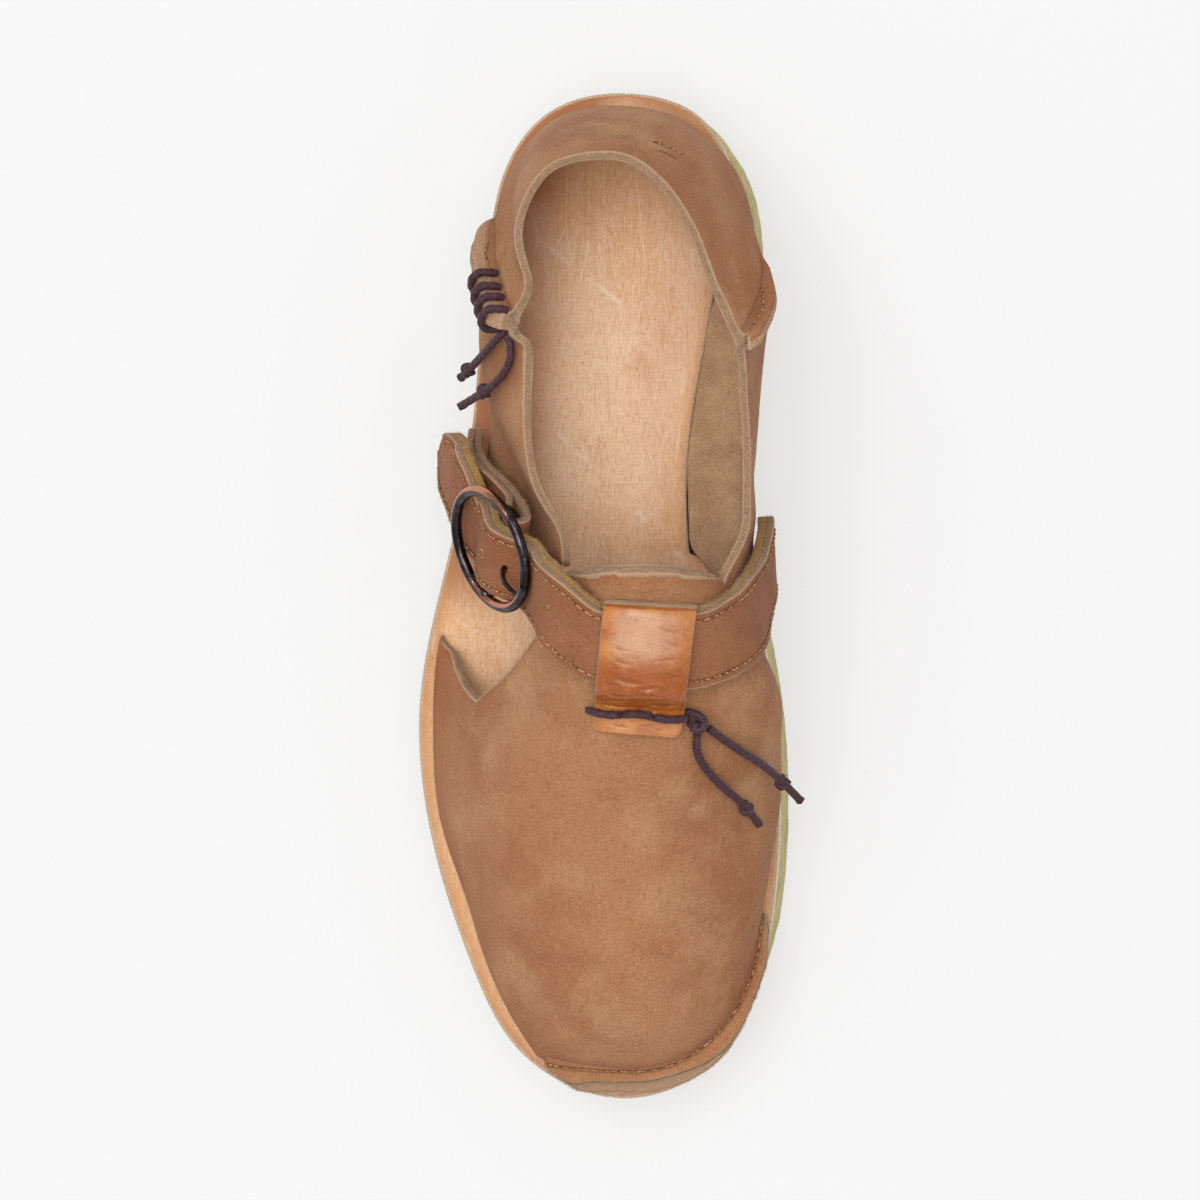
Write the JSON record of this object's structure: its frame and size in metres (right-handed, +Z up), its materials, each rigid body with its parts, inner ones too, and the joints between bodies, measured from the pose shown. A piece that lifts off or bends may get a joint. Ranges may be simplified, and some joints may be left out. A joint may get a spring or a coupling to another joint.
{
  "type": "sandal",
  "caption": "Closed-toe leather sandal for a right foot, with a closed heel, a buckled instep strap through a folded keeper, cord lashings and a flat crepe sole.",
  "frame": {"origin": "on the floor under the middle of the sole's outline", "axes": "+Y from toe to heel, +X to the inner side of the foot, +Z up"},
  "size_m": [0.1105, 0.2842, 0.0938],
  "materials": {
    "footbed_leather": "smooth tan leather with long streaks",
    "midsole_board": "pale raw edge",
    "crepe_rubber": "rough olive crepe",
    "nubuck_leather": "matte brown nubuck with raw edges",
    "strap_leather": "matte brown nubuck in two layers",
    "tan_leather": "smooth waxed tan leather",
    "braided_cord": "dark braided cord",
    "gunmetal": "dark metal worn to copper at its edges"
  },
  "bodies": {
    "root": {"buckle_prong": "gunmetal", "buckle_ring": "gunmetal", "chape": "strap_leather", "footbed": "footbed_leather", "heel_lashing": "braided_cord", "keeper": "tan_leather", "keeper_knot": "braided_cord", "keeper_lacing": "braided_cord", "keeper_tail_a": "braided_cord", "keeper_tail_b": "braided_cord", "lash_tail_a": "braided_cord", "lash_tail_b": "braided_cord", "midsole": "midsole_board", "outsole": "crepe_rubber", "strap": "strap_leather", "upper": "nubuck_leather"}
  },
  "joints": []
}
